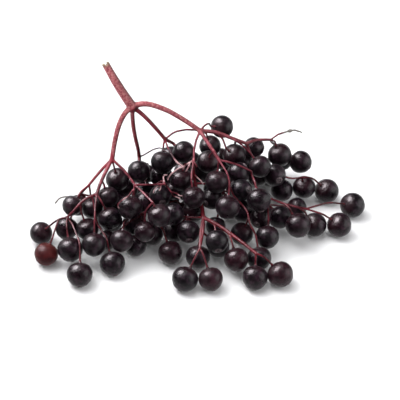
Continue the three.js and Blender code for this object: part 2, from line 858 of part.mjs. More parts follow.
// The origin is under the middle of the cluster, on the surface.
const extent = new THREE.Box3().setFromObject(cluster);
const middle = extent.getCenter(new THREE.Vector3());
const part = new THREE.Group();
cluster.position.set(-middle.x, -middle.y, -extent.min.z);
part.add(cluster);

export default part;
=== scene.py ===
import math
import random

import bmesh
import bpy
from mathutils import Matrix, Vector
from mathutils.bvhtree import BVHTree


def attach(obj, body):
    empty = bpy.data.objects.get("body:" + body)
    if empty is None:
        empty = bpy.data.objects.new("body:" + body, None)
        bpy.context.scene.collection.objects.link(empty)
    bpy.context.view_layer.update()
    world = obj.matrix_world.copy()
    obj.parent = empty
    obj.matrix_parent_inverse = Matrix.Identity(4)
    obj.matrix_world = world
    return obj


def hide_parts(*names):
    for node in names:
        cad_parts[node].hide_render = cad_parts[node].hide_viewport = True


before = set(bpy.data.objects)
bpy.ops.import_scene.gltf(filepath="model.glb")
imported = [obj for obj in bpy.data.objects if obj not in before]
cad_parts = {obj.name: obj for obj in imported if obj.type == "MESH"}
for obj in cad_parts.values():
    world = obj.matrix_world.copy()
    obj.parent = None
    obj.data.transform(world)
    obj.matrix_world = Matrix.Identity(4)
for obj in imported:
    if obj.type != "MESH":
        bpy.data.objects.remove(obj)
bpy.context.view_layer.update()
print("frame loaded,", len(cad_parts), "nodes")

mm = 0.001
weldWithin = 0.0005  # millimetres
noPivot = (0, 0, 0)
black = (0, 0, 0, 1)
white = (1, 1, 1, 1)


def setSockets(node, values):
    for name, value in values.items():
        node.inputs[name].default_value = value


def addNode(tree, kind, values=None, **settings):
    node = tree.nodes.new("ShaderNode" + kind)
    for key, value in settings.items():
        setattr(node, key, value)
    setSockets(node, values or {})
    return node


def joinNodes(tree, ends):
    for out, into in ends:
        tree.links.new(out, into)


def emptyTree(owner):
    owner.use_nodes = True
    owner.node_tree.nodes.clear()
    return owner.node_tree


camera = {
    "target": (0.045 * mm, 8.22 * mm, 3 * mm),
    "distance": 300 * mm,
    "height": 40,  # degrees above the table
    "lens": 108,
    "sensor": 36,
    "nearest": 10 * mm,
    "farthest": 50,
}


def addCamera():
    made = bpy.data.cameras.new("clusterCamera")
    made.lens = camera["lens"]
    made.sensor_width = camera["sensor"]
    made.clip_start = camera["nearest"]
    made.clip_end = camera["farthest"]
    made.dof.use_dof = False
    holder = bpy.data.objects.new("clusterCamera", made)
    bpy.context.scene.collection.objects.link(holder)
    lean = math.radians(camera["height"])
    back = Vector((0, -math.cos(lean), math.sin(lean)))
    holder.location = Vector(camera["target"]) + back * camera["distance"]
    holder.rotation_euler = (math.radians(90) - lean, 0, 0)
    bpy.context.scene.camera = holder


lampsAimAt = (0, 0, 15 * mm)
lamps = {  # diffuse ones show the colours, glossy ones only make the highlights
    "window": {
        "from": (-0.50, 0.17, 0.84), "far": 450 * mm, "wide": 250 * mm,
        "power": 1.35, "lights": "diffuse",
    },
    "windowShine": {
        "from": (-0.56, 0.30, 0.80), "far": 450 * mm, "wide": 290 * mm,
        "power": 23, "colour": (1, 0.94, 0.98), "lights": "glossy",
    },
    "front": {
        "from": (0.1, -0.75, 0.65), "far": 600 * mm, "wide": 500 * mm,
        "power": 0.6, "lights": "diffuse",
    },
    "ceiling": {
        "from": (-0.25, 0.1, 1), "far": 600 * mm, "wide": 650 * mm,
        "power": 4.7, "lights": "diffuse",
    },
    "right": {
        "from": (0.80, -0.35, 0.40), "far": 500 * mm, "wide": 700 * mm,
        "power": 2.6, "lights": "diffuse",
    },
    "rightShine": {
        "from": (0.95, -0.2, 0.26), "far": 500 * mm, "wide": 540 * mm,
        "power": 6.3, "lights": "glossy",
    },
}


def addLamps():
    for name, lamp in lamps.items():
        made = bpy.data.lights.new(name, "AREA")
        made.shape = "SQUARE"
        made.size = lamp["wide"]
        made.energy = lamp["power"]
        made.color = lamp.get("colour", white[:3])
        holder = bpy.data.objects.new(name, made)
        bpy.context.scene.collection.objects.link(holder)
        way = Vector(lamp["from"]).normalized()
        holder.location = Vector(lampsAimAt) + way * lamp["far"]
        holder.rotation_euler = way.to_track_quat("Z", "Y").to_euler()
        holder.visible_diffuse = lamp["lights"] == "diffuse"
        holder.visible_glossy = lamp["lights"] == "glossy"


room = {
    "colour": (0.95, 0.96, 1, 1),
    "light": 0.04,
    "inGloss": 0.03,  # the dark side of the room, which the berries' gloss shows
}


def addWorld():
    world = bpy.data.worlds.new("paleRoom")
    bpy.context.scene.world = world
    tree = emptyTree(world)
    out = addNode(tree, "OutputWorld")
    light = addNode(tree, "Background", {"Color": room["colour"], "Strength": room["light"]})
    dim = addNode(tree, "Background", {"Color": room["colour"], "Strength": room["inGloss"]})
    seen = addNode(tree, "Background", {"Color": white, "Strength": 1})
    path = addNode(tree, "LightPath")
    gloss = addNode(tree, "MixShader")
    mix = addNode(tree, "MixShader")
    joinNodes(tree, [
        (path.outputs["Is Glossy Ray"], gloss.inputs["Fac"]),
        (light.outputs[0], gloss.inputs[1]),
        (dim.outputs[0], gloss.inputs[2]),
        (path.outputs["Is Camera Ray"], mix.inputs["Fac"]),
        (gloss.outputs[0], mix.inputs[1]),
        (seen.outputs[0], mix.inputs[2]),
        (mix.outputs[0], out.inputs["Surface"]),
    ])


table = {
    "side": 8,
    "cuts": 3,
    "colour": (0.755, 0.755, 0.765, 1),
    "whiteFrom": 60 * mm,  # it turns white from here to there, going outwards
    "whiteTo": 500 * mm,
    "leastWhite": 0.02,
    "inGloss": 0.55,  # what the berries' gloss shows of it is this much brighter
}


def addFloor():
    bpy.ops.object.select_all(action="DESELECT")
    bpy.ops.mesh.primitive_plane_add(size=table["side"], location=(0, 0, 0))
    floor = bpy.context.object
    floor.name = "floor"
    bpy.ops.object.mode_set(mode="EDIT")
    bpy.ops.mesh.subdivide(number_cuts=table["cuts"])
    bpy.ops.object.mode_set(mode="OBJECT")
    made = bpy.data.materials.new("whiteTable")
    tree = emptyTree(made)
    out = addNode(tree, "OutputMaterial")
    matt = addNode(tree, "BsdfDiffuse", {"Color": table["colour"]})
    glow = addNode(tree, "Emission", {"Color": white})
    both = addNode(tree, "AddShader")
    path = addNode(tree, "LightPath")
    seen = addNode(tree, "Math", operation="MAXIMUM")  # what is seen straight or in gloss is lifted to white
    lift = addNode(tree, "Math", operation="MULTIPLY")
    where = addNode(tree, "TexCoord")
    reach = addNode(tree, "VectorMath", operation="LENGTH")
    fade = addNode(tree, "MapRange", {
        "From Min": table["whiteFrom"], "From Max": table["whiteTo"],
        "To Min": table["leastWhite"], "To Max": 1,
    })
    bounce = addNode(tree, "Math", {1: table["inGloss"]}, operation="MULTIPLY_ADD")
    joinNodes(tree, [
        (where.outputs["Object"], reach.inputs[0]),
        (reach.outputs["Value"], fade.inputs["Value"]),
        (path.outputs["Is Camera Ray"], seen.inputs[0]),
        (path.outputs["Is Glossy Ray"], seen.inputs[1]),
        (seen.outputs[0], lift.inputs[0]),
        (fade.outputs["Result"], lift.inputs[1]),
        (path.outputs["Is Glossy Ray"], bounce.inputs[0]),
        (lift.outputs[0], bounce.inputs[2]),
        (bounce.outputs[0], glow.inputs["Strength"]),
        (matt.outputs[0], both.inputs[0]),
        (glow.outputs[0], both.inputs[1]),
        (both.outputs[0], out.inputs["Surface"]),
    ])
    floor.data.materials.append(made)


addCamera()
addLamps()
addWorld()
addFloor()
bpy.context.scene.view_settings.view_transform = "Standard"
print("camera, lamps and table are in place")


def onlyThis(obj):
    bpy.ops.object.select_all(action="DESELECT")
    obj.select_set(True)
    bpy.context.view_layer.objects.active = obj


def clearPicks(kind):
    bpy.ops.object.mode_set(mode="EDIT")
    bpy.ops.mesh.select_mode(type=kind)
    bpy.ops.mesh.select_all(action="DESELECT")
    bpy.ops.object.mode_set(mode="OBJECT")


# both picks end in edit mode, with only what passes the test selected
def pickPoints(obj, test):
    clearPicks("VERT")
    for point in obj.data.vertices:
        point.select = bool(test(point.co))
    bpy.ops.object.mode_set(mode="EDIT")


def pickFaces(obj, test):
    clearPicks("FACE")
    for face in obj.data.polygons:
        face.select = bool(test(face.center))
    bpy.ops.object.mode_set(mode="EDIT")


def giveSkin(obj, slot, test):
    pickFaces(obj, test)
    obj.active_material_index = slot
    bpy.ops.object.material_slot_assign()


def addMark(obj, name, values):
    obj.data.attributes.new(name, "FLOAT", "POINT").data.foreach_set("value", values)


def copyOf(source, name):
    made = source.copy()
    made.data = source.data.copy()
    made.name = name
    made.data.name = name
    made.parent = None
    for key in list(made.keys()):
        del made[key]
    bpy.context.scene.collection.objects.link(made)
    return made


def applyModifier(obj, kind, **values):
    onlyThis(obj)
    step = obj.modifiers.new(kind.lower(), kind)
    for key, value in values.items():
        setattr(step, key, value)
    bpy.ops.object.modifier_apply(modifier=step.name)


def settleScale(obj, factor):
    onlyThis(obj)
    obj.scale = (factor, factor, factor)
    bpy.ops.object.transform_apply(location=False, rotation=False, scale=True)


cadBerry = {  # in berry radii, apart from the edges
    "ringRadius": 0.13,
    "ringHeight": 0.94,
    "tipHeight": 1.1,
    "tipSides": 8,
    "tipEdge": (0.38 * mm, 0.75 * mm),  # the shortest and the longest
    "uneven": 0.02,
    "outline": ((-0.96, 0.62), (-0.81, 0.62), (-0.15, 1.0), (0.68, 0.76), (0.94, 0.15), (1.11, 0.05)),
    "spare": 0.02,  # how far outside the outline still counts as berry
}


def findBerries(node):
    # the pointed calyx of each CAD berry gives its radius, its axis and its middle
    shape = bmesh.new()
    shape.from_mesh(node.data)
    bmesh.ops.remove_doubles(shape, verts=shape.verts, dist=weldWithin * mm)
    found = []
    sides = cadBerry["tipSides"]
    shortest, longest = cadBerry["tipEdge"]
    tipRise = cadBerry["tipHeight"] - cadBerry["ringHeight"]
    slope = math.hypot(cadBerry["ringRadius"], tipRise)
    for point in shape.verts:
        if len(point.link_edges) != sides:
            continue
        lengths = [edge.calc_length() for edge in point.link_edges]
        mean = sum(lengths) / sides
        if not shortest < mean < longest or max(lengths) - min(lengths) > cadBerry["uneven"] * mean:
            continue
        ring = sum((edge.other_vert(point).co for edge in point.link_edges), Vector()) / sides
        radius = mean / slope
        axis = (point.co - ring).normalized()
        if abs((point.co - ring).length - tipRise * radius) > cadBerry["uneven"] * radius:
            continue
        middle = point.co - axis * cadBerry["tipHeight"] * radius
        found.append({"middle": middle, "axis": axis, "radius": radius})
    shape.free()
    return found


berriesOf = {name: findBerries(node) for name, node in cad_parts.items() if name != "stalk"}
print("berries found:", sum(len(found) for found in berriesOf.values()))

cloudGrain = {"Detail": 4, "Roughness": 0.6}


def addMottleGroup():
    # soft clouds between two colours, with a finer grain inside them
    group = bpy.data.node_groups.new("mottle", "ShaderNodeTree")
    for label, kind, value in (
        ("Size", "NodeSocketFloat", 800),
        ("Bias", "NodeSocketFloat", 0.5),
        ("Softness", "NodeSocketFloat", 0.2),
        ("Dark", "NodeSocketColor", black),
        ("Light", "NodeSocketColor", white),
    ):
        socket = group.interface.new_socket(name=label, in_out="INPUT", socket_type=kind)
        socket.default_value = value
    for label, kind in (("Colour", "NodeSocketColor"), ("Mask", "NodeSocketFloat")):
        group.interface.new_socket(name=label, in_out="OUTPUT", socket_type=kind)
    into = group.nodes.new("NodeGroupInput")
    out = group.nodes.new("NodeGroupOutput")
    where = addNode(group, "TexCoord")
    cloud = addNode(group, "TexNoise", cloudGrain)
    low = addNode(group, "Math", operation="SUBTRACT")
    high = addNode(group, "Math", operation="ADD")
    step = addNode(group, "MapRange", interpolation_type="SMOOTHSTEP")
    mix = addNode(group, "Mix", data_type="RGBA")
    joinNodes(group, [
        (where.outputs["Object"], cloud.inputs["Vector"]),
        (into.outputs["Size"], cloud.inputs["Scale"]),
        (into.outputs["Bias"], low.inputs[0]),
        (into.outputs["Softness"], low.inputs[1]),
        (into.outputs["Bias"], high.inputs[0]),
        (into.outputs["Softness"], high.inputs[1]),
        (cloud.outputs["Fac"], step.inputs["Value"]),
        (low.outputs[0], step.inputs["From Min"]),
        (high.outputs[0], step.inputs["From Max"]),
        (step.outputs["Result"], mix.inputs["Factor"]),
        (into.outputs["Dark"], mix.inputs["A"]),
        (into.outputs["Light"], mix.inputs["B"]),
        (mix.outputs["Result"], out.inputs["Colour"]),
        (step.outputs["Result"], out.inputs["Mask"]),
    ])
    return group


mottle = addMottleGroup()


def useMottle(tree, clouds, dark=black, light=white):
    size, bias, softness = clouds
    values = {"Size": size, "Bias": bias, "Softness": softness, "Dark": dark, "Light": light}
    return addNode(tree, "Group", values, node_tree=mottle).outputs


def newMaterial(name):
    made = bpy.data.materials.new(name)
    made.use_nodes = True
    return made, made.node_tree, made.node_tree.nodes["Principled BSDF"]


def mixColours(tree, factor, first, second, **settings):
    mix = addNode(tree, "Mix", data_type="RGBA", **settings)
    joinNodes(tree, [(factor, mix.inputs["Factor"]), (first, mix.inputs["A"])])
    if isinstance(second, tuple):
        mix.inputs["B"].default_value = second
    else:
        tree.links.new(second, mix.inputs["B"])
    return mix.outputs["Result"]


def rangeOf(tree, value, fromMin, fromMax, toMin, toMax):
    ends = {"From Min": fromMin, "From Max": fromMax, "To Min": toMin, "To Max": toMax}
    node = addNode(tree, "MapRange", ends)
    tree.links.new(value, node.inputs["Value"])
    return node.outputs["Result"]


def readMark(tree, name):
    return addNode(tree, "Attribute", attribute_name=name).outputs["Fac"]


def bumpFrom(tree, height, look):
    node = addNode(tree, "Bump", {"Distance": look["grain"], "Strength": look["grainShows"]})
    tree.links.new(height, node.inputs["Height"])
    return node.outputs["Normal"]


# clouds are given as how many go to a metre, their bias and their softness
ripeSkin = {
    "black": (0.002, 0.001, 0.002, 1),
    "blackLight": (0.018, 0.009, 0.015, 1),
    "blackClouds": (800, 0.57, 0.12),
    "purple": (0.012, 0.003, 0.006, 1),
    "purpleLight": (0.029, 0.0045, 0.009, 1),
    "purpleClouds": (800, 0.5, 0.2),
    "nearStalk": (0.022, 0.006, 0.009, 1),
    "nearStalkFades": (-0.98, -0.5, 0.7, 0),  # from and to along the berry, and its shares there
    "rough": (0.26, 0.46),
    "roughClouds": (1500, 0.5, 0.2),
    "bloomRough": (-0.1, 0.1),
    "bloomClouds": (170, 0.5, 0.25),
    "grain": 0.075 * mm,
    "grainShows": 0.8,
    "grainClouds": (2100, 0.5, 0.3),
    "evenly": {
        "IOR": 1.17,
        "Coat Weight": 0.07,
        "Coat Roughness": 0.19,
        "Sheen Weight": 0.008,
        "Sheen Roughness": 0.4,
        "Sheen Tint": (0.8, 0.75, 0.95, 1),
    },
}


def makeRipeSkin():
    look = ripeSkin
    made, tree, skin = newMaterial("ripeSkin")
    clouds = useMottle(tree, look["blackClouds"], look["black"], look["blackLight"])
    redder = useMottle(tree, look["purpleClouds"], look["purple"], look["purpleLight"])
    colour = mixColours(tree, readMark(tree, "berryTone"), clouds["Colour"], redder["Colour"])
    stalkEnd = rangeOf(tree, readMark(tree, "alongBerry"), *look["nearStalkFades"])
    colour = mixColours(tree, stalkEnd, colour, look["nearStalk"])
    shine = useMottle(tree, look["roughClouds"])["Mask"]
    bloom = useMottle(tree, look["bloomClouds"])["Mask"]
    grain = useMottle(tree, look["grainClouds"])["Mask"]
    rough = addNode(tree, "Math", operation="ADD")
    joinNodes(tree, [
        (rangeOf(tree, shine, 0, 1, *look["rough"]), rough.inputs[0]),
        (rangeOf(tree, bloom, 0, 1, *look["bloomRough"]), rough.inputs[1]),
        (colour, skin.inputs["Base Color"]),
        (rough.outputs[0], skin.inputs["Roughness"]),
        (bumpFrom(tree, grain, look), skin.inputs["Normal"]),
    ])
    setSockets(skin, look["evenly"])
    return made


unripeSkin = {
    "dark": (0.022, 0.003, 0.004, 1),
    "light": (0.068, 0.009, 0.010, 1),
    "clouds": (500, 0.5, 0.2),
    "nearStalk": (0.08, 0.014, 0.012, 1),
    "nearStalkFades": (-0.98, -0.3, 0.7, 0),
    "rough": (0.36, 0.5),
    "grain": 0.05 * mm,
    "grainShows": 0.8,
    "grainClouds": (3000, 0.5, 0.3),
    "evenly": {"IOR": 1.15},
}


def makeUnripeSkin():
    look = unripeSkin
    made, tree, skin = newMaterial("unripeSkin")
    clouds = useMottle(tree, look["clouds"], look["dark"], look["light"])
    stalkEnd = rangeOf(tree, readMark(tree, "alongBerry"), *look["nearStalkFades"])
    grain = useMottle(tree, look["grainClouds"])["Mask"]
    joinNodes(tree, [
        (mixColours(tree, stalkEnd, clouds["Colour"], look["nearStalk"]), skin.inputs["Base Color"]),
        (rangeOf(tree, grain, 0, 1, *look["rough"]), skin.inputs["Roughness"]),
        (bumpFrom(tree, grain, look), skin.inputs["Normal"]),
    ])
    setSockets(skin, look["evenly"])
    return made


dryCrown = {
    "dark": (0.010, 0.006, 0.008, 1),
    "light": (0.085, 0.050, 0.058, 1),
    "clouds": (2600, 0.5, 0.14),
    "grain": 0.05 * mm,
    "grainShows": 0.6,
    "evenly": {"Roughness": 0.7},
}
cutWood = {
    "dark": (0.20, 0.13, 0.06, 1),
    "light": (0.55, 0.47, 0.26, 1),
    "clouds": (1300, 0.5, 0.15),
    "grain": 0.1 * mm,
    "grainShows": 0.8,
    "evenly": {"Roughness": 0.8},
}


def makeDrySkin(name, look):
    made, tree, skin = newMaterial(name)
    clouds = useMottle(tree, look["clouds"], look["dark"], look["light"])
    joinNodes(tree, [
        (clouds["Colour"], skin.inputs["Base Color"]),
        (bumpFrom(tree, clouds["Mask"], look), skin.inputs["Normal"]),
    ])
    setSockets(skin, look["evenly"])
    return made


stemSkin = {
    "thickDark": (0.22, 0.03, 0.045, 1),
    "thickLight": (0.56, 0.19, 0.20, 1),
    "thickClouds": (1900, 0.5, 0.2),
    "thickFrom": (0.75, 1.4),  # millimetres of girth over which they take over from the thin wood's
    "thinDark": (0.07, 0.004, 0.012, 1),
    "thinLight": (0.26, 0.048, 0.07, 1),
    "thinClouds": (420, 0.5, 0.16),
    "crimsonDark": (0.18, 0.01, 0.024, 1),
    "crimsonLight": (0.36, 0.058, 0.078, 1),
    "crimsonClouds": (420, 0.5, 0.2),
    "fleck": (0.44, 0.29, 0.23, 1),
    "fleckClouds": (1900, 0.64, 0.05),
    "paintedDeepShade": (0.42, 0.26, 0.3, 1),  # painted shade: what wood low in the cluster, under the berries, is multiplied by
    "paintedDeepShadeFrom": (9 * mm, 22 * mm),  # heights between which the painted shade fades out
    "paintedLightFrom": (-0.7, -0.4, 0.6),  # the side the painted light comes from, which stays palest
    "paintedShade": (0.09, 0.016, 0.03, 1),  # what the other side is multiplied by: painted shade
    "paintedShadeFrom": (-0.35, 0.6),  # how far towards the lit side the painted shade fades out
    "marked": {
        "dullWood": (0.07, 0.035, 0.042, 1),
        "dryWood": (0.15, 0.135, 0.12, 1),
        "paleWood": (0.40, 0.23, 0.24, 1),
        "cutRim": (0.17, 0.13, 0.075, 1),
    },
    "rough": (0.3, 0.46),
    "grain": 0.07 * mm,
    "grainShows": 0.6,
    "grainClouds": (1800, 0.5, 0.3),
    "evenly": {"IOR": 1.21},
}


def makeStemSkin():
    look = stemSkin
    made, tree, skin = newMaterial("stemSkin")
    thick, thin, crimson = [
        useMottle(tree, look[wood + "Clouds"], look[wood + "Dark"], look[wood + "Light"])["Colour"]
        for wood in ("thick", "thin", "crimson")
    ]
    share = rangeOf(tree, readMark(tree, "girth"), *look["thickFrom"], 0, 1)
    colour = mixColours(tree, share, thin, thick)
    flecks = useMottle(tree, look["fleckClouds"])["Mask"]
    fleckShare = addNode(tree, "Math", operation="MULTIPLY")
    joinNodes(tree, [(flecks, fleckShare.inputs[0]), (share, fleckShare.inputs[1])])
    colour = mixColours(tree, fleckShare.outputs[0], colour, look["fleck"])
    colour = mixColours(tree, readMark(tree, "crimsonWood"), colour, crimson)
    where = addNode(tree, "TexCoord")
    height = addNode(tree, "SeparateXYZ")
    side = addNode(tree, "VectorMath", {1: Vector(look["paintedLightFrom"]).normalized()}, operation="DOT_PRODUCT")
    joinNodes(tree, [
        (where.outputs["Object"], height.inputs[0]),
        (where.outputs["Normal"], side.inputs[0]),
    ])
    # painted shade: wood low in the cluster is darkened by its height
    paintedDeepShade = rangeOf(tree, height.outputs["Z"], *look["paintedDeepShadeFrom"], 1, 0)
    colour = mixColours(tree, paintedDeepShade, colour, look["paintedDeepShade"], blend_type="MULTIPLY")
    # painted shade: the side of the wood turned away from the light direction is darkened
    paintedShadeShare = rangeOf(tree, side.outputs["Value"], *look["paintedShadeFrom"], 1, 0)
    colour = mixColours(tree, paintedShadeShare, colour, look["paintedShade"], blend_type="MULTIPLY")
    for mark, tone in look["marked"].items():
        colour = mixColours(tree, readMark(tree, mark), colour, tone)
    grain = useMottle(tree, look["grainClouds"])["Mask"]
    joinNodes(tree, [
        (colour, skin.inputs["Base Color"]),
        (rangeOf(tree, grain, 0, 1, *look["rough"]), skin.inputs["Roughness"]),
        (bumpFrom(tree, grain, look), skin.inputs["Normal"]),
    ])
    setSockets(skin, look["evenly"])
    return made


skins = {
    "ripe": makeRipeSkin(),
    "unripe": makeUnripeSkin(),
    "crown": makeDrySkin("dryCrown", dryCrown),
    "stem": makeStemSkin(),
    "cut": makeDrySkin("cutWood", cutWood),
}
print("finishes made")

berry = {
    "sides": 40,
    "rings": 20,
    "wide": 1.01,  # in berry radii, as are the sizes below
    "tall": 0.975,
    "belly": 0.75,  # how far up and down it is slid towards the stalk
    "bellySlide": -0.04,
    "crown": (0.9, 0.15),  # above this height, and inside this radius
    "crownFlare": 1.15,
    "crownDrop": -0.02,
    "crownRim": 0.03,
    "crownWall": 0.035,
    "crownSink": 0.035,
    "styleInset": 0.06,
    "styleRise": 0.028,
    "teeth": 5,
    "toothSteps": (0.32, 0.2, 0.07),  # shares of a tooth's turn, from its foot to its tip
    "toothRise": 0.035,
    "toothSpread": 1.22,
    "toothInside": 0.1,
    "rimUneven": 0.004,
    "rimSpare": 0.002,
    "dimpleBelow": -0.9,
    "dimpleSteps": ((0.35, 0.02), (0.2, 0.03)),  # radius and depth
    "stub": (-0.85, 0.14),  # the swollen tip of the pedicel: below this height, and inside this radius
    "stubSteps": ((0.04, 0.92), (0.07, 0.72), (0.1, 0.9)),  # length and taper
    "stubGirth": 0.5,
    "crownSkin": (0.915, 0.3),
    "stubSkin": (-0.97, 0.12),
    "sharpFrom": 50,  # degrees
}


def fromAxis(co):
    return math.hypot(co.x, co.y)


def above(place):
    height, radius = place
    return lambda co: co.z > height and fromAxis(co) < radius


def below(place):
    height, radius = place
    return lambda co: co.z < height and fromAxis(co) < radius


def slide(rise):
    bpy.ops.transform.translate(value=(0, 0, rise))


def widen(factor):
    bpy.ops.transform.resize(value=(factor, factor, 1), center_override=noPivot)


def pushOut(rise):
    bpy.ops.mesh.extrude_region_move(TRANSFORM_OT_translate={"value": (0, 0, rise)})


def modelCrown(made):
    # a low collar round a sunk disc with the old style in its middle
    pickFaces(made, above(berry["crown"]))
    widen(berry["crownFlare"])
    slide(berry["crownDrop"])
    pushOut(berry["crownRim"])
    bpy.ops.mesh.inset(thickness=berry["crownWall"], depth=0)
    pushOut(-berry["crownSink"])
    bpy.ops.mesh.inset(thickness=berry["styleInset"], depth=0)
    pushOut(berry["styleRise"])
    bpy.ops.object.mode_set(mode="OBJECT")


def modelTeeth(made):
    # blunt teeth on the collar
    places = [point.co.copy() for point in made.data.vertices]
    rimTop = max(co.z for co in places)
    rimLow = min(co.z for co in places
                 if co.z > rimTop - berry["rimUneven"] and fromAxis(co) > berry["toothInside"])

    def onTooth(co, reach):
        if co.z < rimLow - berry["rimSpare"] or fromAxis(co) < berry["toothInside"]:
            return False
        angle = math.atan2(co.y, co.x) % math.tau
        turn = (angle / math.tau * berry["teeth"] + 0.5) % 1 - 0.5
        return abs(turn) < reach

    steps = berry["toothSteps"]
    for reach in steps:
        pickPoints(made, lambda co: onTooth(co, reach))
        slide(berry["toothRise"] / len(steps))
        widen(berry["toothSpread"] ** (1 / len(steps)))
        bpy.ops.object.mode_set(mode="OBJECT")


def modelStalkEnd(made):
    # a dimple, and the swollen tip of the pedicel in it
    for radius, depth in berry["dimpleSteps"]:
        pickPoints(made, below((berry["dimpleBelow"], radius)))
        slide(depth)
    bpy.ops.object.mode_set(mode="OBJECT")
    pickFaces(made, below(berry["stub"]))
    for length, taper in berry["stubSteps"]:
        pushOut(-length)
        widen(taper)
    bpy.ops.object.mode_set(mode="OBJECT")


def modelBerry():
    bpy.ops.object.select_all(action="DESELECT")
    bpy.ops.mesh.primitive_uv_sphere_add(segments=berry["sides"], ring_count=berry["rings"], radius=1)
    made = bpy.context.object
    made.name = "berryPattern"
    # an egg with its widest girth nearer the stalk
    pickPoints(made, lambda co: True)
    bpy.ops.transform.resize(value=(berry["wide"], berry["wide"], berry["tall"]), center_override=noPivot)
    pickPoints(made, lambda co: abs(co.z) < berry["belly"])
    slide(berry["bellySlide"])
    modelCrown(made)
    modelTeeth(made)
    modelStalkEnd(made)
    for name in ("ripe", "crown", "stem"):
        made.data.materials.append(skins[name])
    giveSkin(made, 1, above(berry["crownSkin"]))
    giveSkin(made, 2, below(berry["stubSkin"]))
    bpy.ops.object.mode_set(mode="OBJECT")
    bpy.ops.object.shade_smooth_by_angle(angle=math.radians(berry["sharpFrom"]))
    count = len(made.data.vertices)
    addMark(made, "alongBerry", [point.co.z for point in made.data.vertices])
    addMark(made, "berryTone", [0.0] * count)
    addMark(made, "girth", [berry["stubGirth"]] * count)
    return made


berryPattern = modelBerry()
print("berry modelled,", len(berryPattern.data.polygons), "faces")

placing = {
    "seed": 7,
    "lopsided": 0.025,  # how far a berry is from round
    "tone": (0.0, 0.2),  # how purple a berry is, from 0 to 1
    "redder": {
        "front_berry_3": 0.55,
        "front_berry_5": 0.6,
        "front_berry_7": 0.5,
        "left_berry_17": 0.3,
        "left_berry_15": 0.25,
    },
    "unripe": "left_berry_2",
}
chance = random.Random(placing["seed"])


def placeBerry(name, spot, tone):
    made = copyOf(berryPattern, name)
    across = 1 + chance.uniform(-1, 1) * placing["lopsided"]
    roll = Matrix.Rotation(chance.uniform(0, math.tau), 4, "Z")
    turn = spot["axis"].to_track_quat("Z", "Y").to_matrix().to_4x4()
    size = Matrix.Diagonal((across * spot["radius"], (2 - across) * spot["radius"], spot["radius"], 1))
    made.matrix_world = Matrix.Translation(spot["middle"]) @ turn @ size @ roll
    made.data.attributes["berryTone"].data.foreach_set("value", [tone] * len(made.data.vertices))
    return made


fineBerries = {}
for nodeName, spots in berriesOf.items():
    tone = placing["redder"].get(nodeName)
    fineBerries[nodeName] = [
        placeBerry(nodeName + "_skin" if len(spots) == 1 else f"{nodeName}_skin_{count}", spot,
                   chance.uniform(*placing["tone"]) if tone is None else tone)
        for count, spot in enumerate(spots, 1)
    ]
everyBerry = [made for group in fineBerries.values() for made in group]
bpy.data.objects.remove(berryPattern)

# from here to the print line, all berries are edited at once
bpy.ops.object.select_all(action="DESELECT")
for made in everyBerry:
    made.select_set(True)
bpy.context.view_layer.objects.active = everyBerry[0]
bpy.ops.object.transform_apply(location=True, rotation=True, scale=True)
clearPicks("VERT")
for made in everyBerry:
    for point in made.data.vertices:
        point.select = point.co.z < 0
bpy.ops.object.mode_set(mode="EDIT")
bpy.ops.transform.resize(value=(1, 1, 0), center_override=noPivot)  # the table presses them flat
bpy.ops.object.mode_set(mode="OBJECT")
fineBerries[placing["unripe"]][0].data.materials[0] = skins["unripe"]
print("berries placed:", len(everyBerry))

# the wood is worked on in millimetres, and finishWood brings it back to metres
smoothing = {
    "stalkVoxel": 0.145,
    "twigVoxel": 0.11,
    "quickVoxel": 0.18,
    "pull": 0.5,  # how far a round moves each point towards its neighbours
    "rounds": 6,
    "swell": 0.03,
    "thickRounds": 30,
    "thickSwell": 0.03,
    "thickFrom": (0.8, 1.2),  # girth over which the extra rounds come in
    "knots": (  # places on bare twigs, how far their swelling reaches, and how much they swell
        ((20.5, 18.8, 16), 3, 0.06),
        ((22.6, 19.8, 15.8), 0.8, 0.34),
        ((24, 20.5, 15.6), 2.5, 0.06),
        ((-33.4, 1.7, 9.3), 2.2, 0.05),
        ((-35, 1.3, 8), 1, 0.06),
    ),
}


def onBerry(co, spots):
    rows = cadBerry["outline"]
    for spot in spots:
        radius = spot["radius"] / mm
        away = co - spot["middle"] / mm
        along = away.dot(spot["axis"]) / radius
        across = (away - spot["axis"] * away.dot(spot["axis"])).length / radius
        if not rows[0][0] <= along <= rows[-1][0]:
            continue
        for (lowAlong, lowWide), (highAlong, highWide) in zip(rows, rows[1:]):
            if lowAlong <= along <= highAlong:
                share = (along - lowAlong) / (highAlong - lowAlong)
                if across <= lowWide + (highWide - lowWide) * share + cadBerry["spare"]:
                    return True
    return False


def smoothWood(made, voxel):
    # an even skin over the faceted solid, rounded off, and swelled back to its old girth
    onlyThis(made)
    made.data.remesh_voxel_size = voxel
    made.data.remesh_voxel_adaptivity = 0
    bpy.ops.object.voxel_remesh()
    applyModifier(made, "SMOOTH", factor=smoothing["pull"], iterations=smoothing["rounds"])
    applyModifier(made, "DISPLACE", strength=smoothing["swell"], mid_level=0, direction="NORMAL")


def roundThickWood(made):
    # the thick stems get more rounds than the pedicels could stand
    low, high = smoothing["thickFrom"]
    thick = made.vertex_groups.new(name="thick")
    for index, girth in enumerate(made.data.attributes["girth"].data):
        share = (girth.value - low) / (high - low)
        if share > 0:
            thick.add([index], min(share, 1), "REPLACE")
    applyModifier(made, "SMOOTH", factor=smoothing["pull"], iterations=smoothing["thickRounds"],
                  vertex_group="thick")
    applyModifier(made, "DISPLACE", strength=smoothing["thickSwell"], mid_level=0, direction="NORMAL",
                  vertex_group="thick")
    made.vertex_groups.clear()


girthProbe = {
    "start": 0.01,  # how far under the surface
    "farthest": 6,
    "thickest": 4,
    "ifMissed": 0.5,
    "rounds": 6,
}


